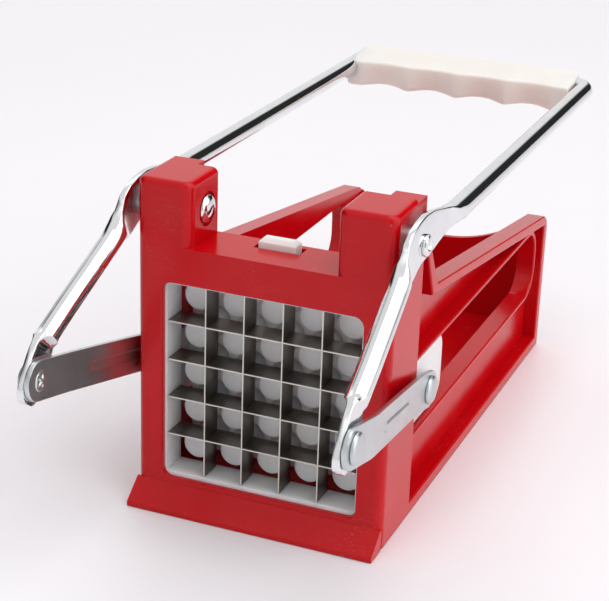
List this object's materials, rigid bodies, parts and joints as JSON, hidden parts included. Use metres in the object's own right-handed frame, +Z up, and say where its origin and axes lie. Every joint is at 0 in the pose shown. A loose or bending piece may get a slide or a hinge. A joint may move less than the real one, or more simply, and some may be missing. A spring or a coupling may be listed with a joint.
{
  "type": "french fry cutter",
  "caption": "Lever press for cutting potato sticks: a U-shaped handle drives a pegged pusher through a blade grid.",
  "frame": {"origin": "on the table plane, in the plane of the front face, midway between the sides", "axes": "+X to the object's right seen from the front, +Y from the cutting window to the rear, +Z up"},
  "size_m": [0.1305, 0.344, 0.1365],
  "materials": {
    "red_plastic": "glossy moulded plastic",
    "white_plastic": "smooth moulded plastic",
    "grip_plastic": "satin moulded plastic",
    "blade_steel": "ground stainless strip",
    "chrome": "bright plated",
    "zinc_plate": "dull zinc plated"
  },
  "bodies": {
    "body": {"body_shell": "red_plastic", "cassette_frame": "white_plastic", "blade_upright_1": "blade_steel", "blade_upright_2": "blade_steel", "blade_upright_3": "blade_steel", "blade_upright_4": "blade_steel", "blade_level_1": "blade_steel", "blade_level_2": "blade_steel", "blade_level_3": "blade_steel", "blade_level_4": "blade_steel", "left_pivot_screw": "chrome", "right_pivot_screw": "chrome", "left_pivot_washer": "zinc_plate", "right_pivot_washer": "zinc_plate"},
    "lever": {"lever_tube": "chrome", "grip": "grip_plastic", "left_front_rivet": "zinc_plate", "right_front_rivet": "zinc_plate"},
    "pusher_body": {"pusher": "white_plastic"},
    "left_link_body": {"left_link": "zinc_plate", "left_rear_rivet": "zinc_plate"},
    "right_link_body": {"right_link": "zinc_plate", "right_rear_rivet": "zinc_plate"}
  },
  "joints": [
    {"name": "lever_pivot", "type": "hinge", "parent": "body", "child": "lever", "pos_m": [0, 0.0149, 0.1225], "axis": [1, 0, 0], "range_deg": [-7, 92]},
    {"name": "pusher_slide", "type": "slide", "parent": "body", "child": "pusher_body", "axis": [0, 1, 0], "range_m": [-0.01, 0.1309]},
    {"name": "left_link_pivot", "type": "hinge", "parent": "lever", "child": "left_link_body", "pos_m": [-0.0577, -0.0651, 0.0772], "axis": [1, 0, 0], "range_deg": [-74, 6]},
    {"name": "right_link_pivot", "type": "hinge", "parent": "lever", "child": "right_link_body", "pos_m": [0.0631, -0.0651, 0.0772], "axis": [1, 0, 0], "range_deg": [-74, 6]}
  ],
  "couplings": [
    {"joint": "pusher_slide", "follows": "lever_pivot", "m_per_rad": 0.081456},
    {"joint": "left_link_pivot", "follows": "lever_pivot", "ratio": -0.8022},
    {"joint": "right_link_pivot", "follows": "lever_pivot", "ratio": -0.8022}
  ]
}
